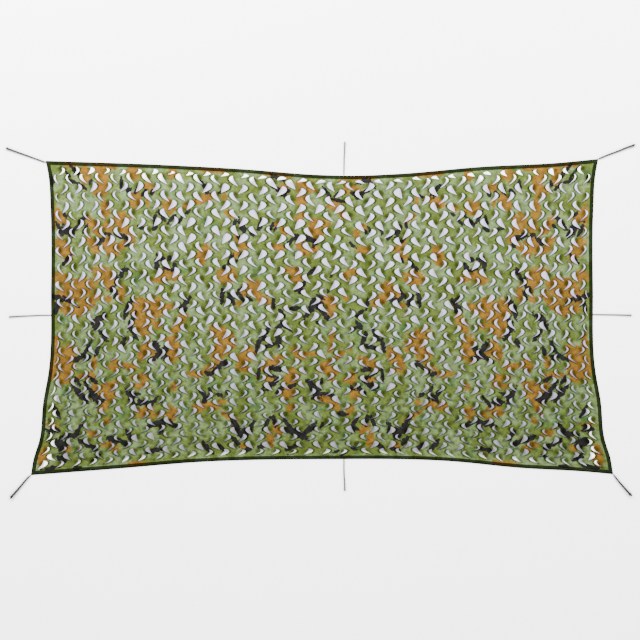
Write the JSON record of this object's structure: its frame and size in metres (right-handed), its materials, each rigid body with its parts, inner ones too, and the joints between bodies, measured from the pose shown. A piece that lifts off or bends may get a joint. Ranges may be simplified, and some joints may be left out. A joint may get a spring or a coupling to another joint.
{
  "type": "camouflage net",
  "caption": "Leaf-cut camouflage net in woodland greens, ochre and black, lying flat, with a folded hem and a tie cord at each corner and on each side.",
  "frame": {"origin": "on the surface the net lies on, below the middle of the panel's bounding box", "axes": "+X across the net from its left to its right edge, +Y up its face from bottom to top edge, +Z off the surface, out of the face"},
  "size_m": [3.3493, 1.9029, 0.0144],
  "materials": {
    "camouflage_cloth": "matt printed polyester cloth in sage, yellow-green, ochre and black",
    "dark_cord": "matt dark olive laid cord"
  },
  "bodies": {
    "root": {"net_panel": "camouflage_cloth", "cord_top_left": "dark_cord", "cord_top": "dark_cord", "cord_top_right": "dark_cord", "cord_right": "dark_cord", "cord_bottom_right": "dark_cord", "cord_bottom": "dark_cord", "cord_bottom_left": "dark_cord", "cord_left": "dark_cord", "knot_top_left": "dark_cord", "knot_top": "dark_cord", "knot_top_right": "dark_cord", "knot_right": "dark_cord", "knot_bottom_right": "dark_cord", "knot_bottom": "dark_cord", "knot_bottom_left": "dark_cord", "knot_left": "dark_cord"}
  },
  "joints": []
}
